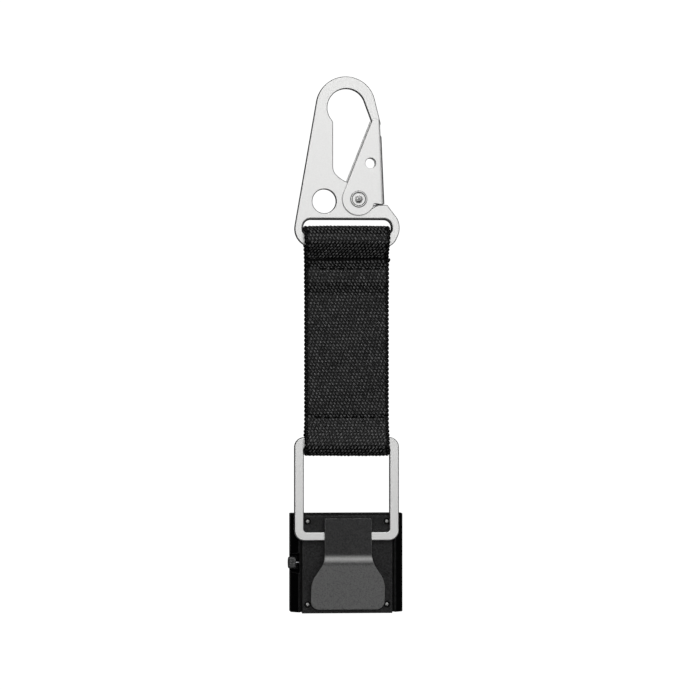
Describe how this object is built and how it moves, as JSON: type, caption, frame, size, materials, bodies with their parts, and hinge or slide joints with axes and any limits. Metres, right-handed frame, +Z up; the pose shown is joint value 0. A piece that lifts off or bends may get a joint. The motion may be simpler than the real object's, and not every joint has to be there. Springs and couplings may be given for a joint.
{
  "type": "key organiser",
  "caption": "Sprung carry hook on a sewn webbing loop with a rectangular ring and a clip-on square watch.",
  "frame": {"origin": "top of the inside of the hook's eye, on the mid-plane of the hook plate: the point it hangs from", "axes": "+Z up along the strap, +X to the right when the clip on the watch's back faces the viewer, +Y from that viewer through the watch to its dial"},
  "size_m": [0.0333, 0.0142, 0.1549],
  "materials": {
    "satin_steel": "bead-blasted satin",
    "rivet_steel": "rolled and polished",
    "spring_steel": "drawn wire",
    "webbing": "woven nylon, slight sheen",
    "thread": "bonded nylon thread",
    "black_metal": "black satin coating",
    "black_plate": "black fine-textured coating",
    "black_clip": "black fine-textured coating",
    "screw_steel": "polished",
    "seal": "matt",
    "brass": "turned",
    "plastic": "moulded",
    "battery_steel": "nickel-plated",
    "board": "solder mask",
    "copper": "enamelled wire",
    "dial_black": "matt",
    "marker": "polished",
    "crystal": "clear"
  },
  "bodies": {
    "hook": {"hook_plate": "satin_steel", "gate_rivet": "rivet_steel", "gate_spring": "spring_steel"},
    "gate": {"gate": "satin_steel"},
    "strap": {"webbing_strap": "webbing", "upper_stitching": "thread", "lower_stitching": "thread"},
    "ring": {"rectangular_ring": "satin_steel"},
    "watch": {"case": "black_metal", "back_plate": "black_plate", "case_screws": "screw_steel", "back_gasket": "seal", "clip_block": "black_plate", "crown_tube": "spring_steel", "movement_plate": "brass", "movement_holder": "plastic", "battery": "battery_steel", "battery_contact": "spring_steel", "circuit_board": "board", "coil": "copper", "dial": "dial_black", "hour_markers": "marker", "crystal": "crystal", "crystal_gasket": "seal"},
    "clip": {"clip": "black_clip"},
    "minute_hand": {"minute_hand": "marker", "cannon_pinion": "brass"},
    "hour_hand": {"hour_hand": "marker", "hour_wheel": "brass"},
    "minute_wheel": {"minute_wheel": "brass"},
    "stem_sleeve": {"stem_pinion": "brass"},
    "crown": {"crown": "black_metal", "stem": "spring_steel"}
  },
  "joints": [
    {"name": "gate_hinge", "type": "hinge", "parent": "hook", "child": "gate", "pos_m": [0.00335, 0, -0.03184], "axis": [0, -1, 0], "range_deg": [0, 25], "stiffness_Nm_per_rad": 0.02, "springref_deg": -20.05, "deforming": ["gate_spring"]},
    {"name": "strap_swing", "type": "hinge", "parent": "hook", "child": "strap", "pos_m": [0, 0, -0.0436], "axis": [1, 0, 0], "range_deg": [-80, 80]},
    {"name": "ring_swing", "type": "hinge", "parent": "strap", "child": "ring", "pos_m": [0, 0, -0.10195], "axis": [1, 0, 0], "range_deg": [-80, 80]},
    {"name": "watch_slide", "type": "slide", "parent": "ring", "child": "watch", "axis": [0, 0, 1], "range_m": [0, 0.0118]},
    {"name": "clip_flex", "type": "hinge", "parent": "watch", "child": "clip", "pos_m": [0.00035, -0.00115, -0.1239], "axis": [-1, 0, 0], "range_deg": [0, 5], "stiffness_Nm_per_rad": 0.5},
    {"name": "minute_hand_turn", "type": "hinge", "parent": "watch", "child": "minute_hand", "pos_m": [0.00035, 0.008, -0.1369], "axis": [0, -1, 0], "continuous": true},
    {"name": "hour_hand_turn", "type": "hinge", "parent": "watch", "child": "hour_hand", "pos_m": [0.00035, 0.008, -0.1369], "axis": [0, -1, 0], "continuous": true},
    {"name": "minute_wheel_turn", "type": "hinge", "parent": "watch", "child": "minute_wheel", "pos_m": [0.00035, 0.0065, -0.1405], "axis": [0, -1, 0], "continuous": true},
    {"name": "crown_turn", "type": "hinge", "parent": "watch", "child": "stem_sleeve", "pos_m": [-0.00705, 0.005, -0.1369], "axis": [-1, 0, 0], "continuous": true},
    {"name": "crown_pull", "type": "slide", "parent": "stem_sleeve", "child": "crown", "axis": [-1, 0, 0], "range_m": [0, 0.001]}
  ],
  "couplings": [
    {"joint": "hour_hand_turn", "follows": "minute_hand_turn", "ratio": 0.083333},
    {"joint": "minute_wheel_turn", "follows": "minute_hand_turn", "ratio": -0.33333}
  ]
}
